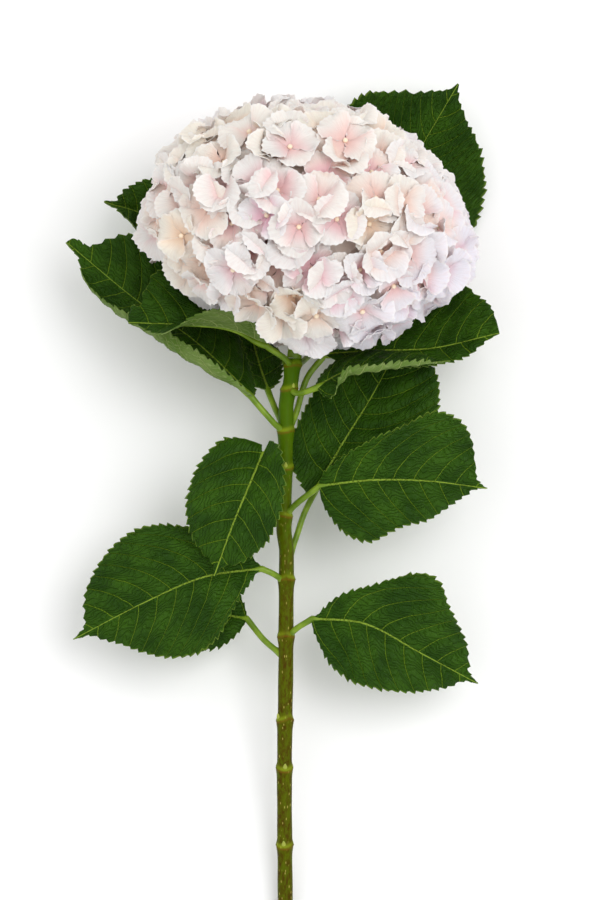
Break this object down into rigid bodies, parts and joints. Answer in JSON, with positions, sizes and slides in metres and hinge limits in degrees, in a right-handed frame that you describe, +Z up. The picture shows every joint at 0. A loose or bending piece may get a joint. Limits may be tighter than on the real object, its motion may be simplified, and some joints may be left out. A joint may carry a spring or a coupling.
{
  "type": "cut hydrangea",
  "caption": "Cut mophead hydrangea lying down: a dense round head of blush white florets on a ringed green stem with broad toothed leaves.",
  "frame": {"origin": "on the table, at the middle of the flat pressed into the underside of the bloom", "axes": "+Z up off the table, +Y along the lying stem from its cut end towards the bloom, +X to the right seen from above with the bloom away"},
  "size_m": [0.2482, 0.5109, 0.1791],
  "materials": {
    "stem": "semi-woody green stem, satin",
    "bloom": "soft matt petals",
    "leaf_low_left": "leathery leaf, satin above",
    "leaf_low_left_back": "leathery leaf, satin above",
    "leaf_low_right": "leathery leaf, satin above",
    "leaf_mid_left": "leathery leaf, satin above",
    "leaf_mid_right": "leathery leaf, satin above",
    "leaf_mid_right_back": "leathery leaf, satin above",
    "leaf_collar_right": "leathery leaf, satin above",
    "leaf_collar_right_back": "leathery leaf, satin above",
    "leaf_top_right": "leathery leaf, satin above",
    "leaf_top_left": "leathery leaf, satin above",
    "leaf_top_left_back": "leathery leaf, satin above",
    "leaf_under_left": "leathery leaf, satin above",
    "leaf_collar_left": "leathery leaf, satin above"
  },
  "bodies": {
    "root": {"stem": "stem", "bloom": "bloom", "leaf_low_left": "leaf_low_left", "leaf_low_left_back": "leaf_low_left_back", "leaf_low_right": "leaf_low_right", "leaf_mid_left": "leaf_mid_left", "leaf_mid_right": "leaf_mid_right", "leaf_mid_right_back": "leaf_mid_right_back", "leaf_collar_right": "leaf_collar_right", "leaf_collar_right_back": "leaf_collar_right_back", "leaf_top_right": "leaf_top_right", "leaf_top_left": "leaf_top_left", "leaf_top_left_back": "leaf_top_left_back", "leaf_under_left": "leaf_under_left", "leaf_collar_left": "leaf_collar_left"}
  },
  "joints": []
}
